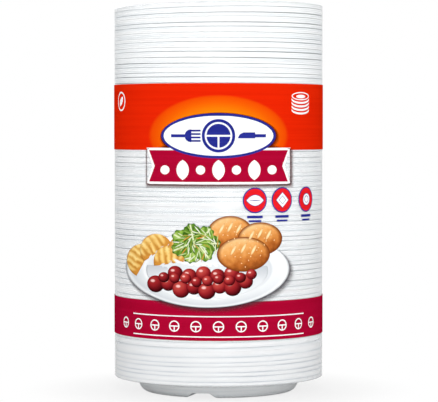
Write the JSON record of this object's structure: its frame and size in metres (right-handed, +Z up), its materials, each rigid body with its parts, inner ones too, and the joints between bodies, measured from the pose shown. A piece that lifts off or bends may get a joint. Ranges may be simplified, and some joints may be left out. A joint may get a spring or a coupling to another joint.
{
  "type": "stack of foam compartment plates",
  "caption": "Tall stack of nested white foam dinner plates with three compartments each, held in a clear printed shrink film sleeve.",
  "frame": {"origin": "on the floor under the middle of the stack", "axes": "+Z up the stack; the front with the printed label faces -Y, +X is to the viewer's right"},
  "size_m": [0.2618, 0.2622, 0.4831],
  "materials": {
    "foam": "soft matte polystyrene foam",
    "film": "clear glossy shrink film",
    "ink_orange": "printed ink on clear film",
    "ink_amber": "printed ink on clear film",
    "ink_crimson": "printed ink on clear film",
    "ink_white": "printed ink on clear film",
    "ink_blue": "printed ink on clear film",
    "ink_red": "printed ink on clear film",
    "ink_tray": "printed ink on clear film",
    "ink_crust": "printed ink on clear film",
    "ink_leaf": "printed ink on clear film",
    "ink_berry": "printed ink on clear film",
    "ink_wedge": "printed ink on clear film"
  },
  "bodies": {
    "root": {"plate_bottom": "foam", "plates_a": "foam", "plates_b": "foam", "plates_c": "foam", "plates_d": "foam", "plates_e": "foam", "plates_f": "foam", "plates_g": "foam", "plates_h": "foam", "plates_i": "foam", "plates_j": "foam", "plates_k": "foam", "plates_l": "foam", "plate_top": "foam", "film_sleeve": "film", "print_orange": "ink_orange", "print_amber": "ink_amber", "print_crimson": "ink_crimson", "print_white": "ink_white", "print_blue": "ink_blue", "print_red": "ink_red", "print_tray": "ink_tray", "print_crust": "ink_crust", "print_leaf": "ink_leaf", "print_berry": "ink_berry", "print_wedge": "ink_wedge"}
  },
  "joints": []
}
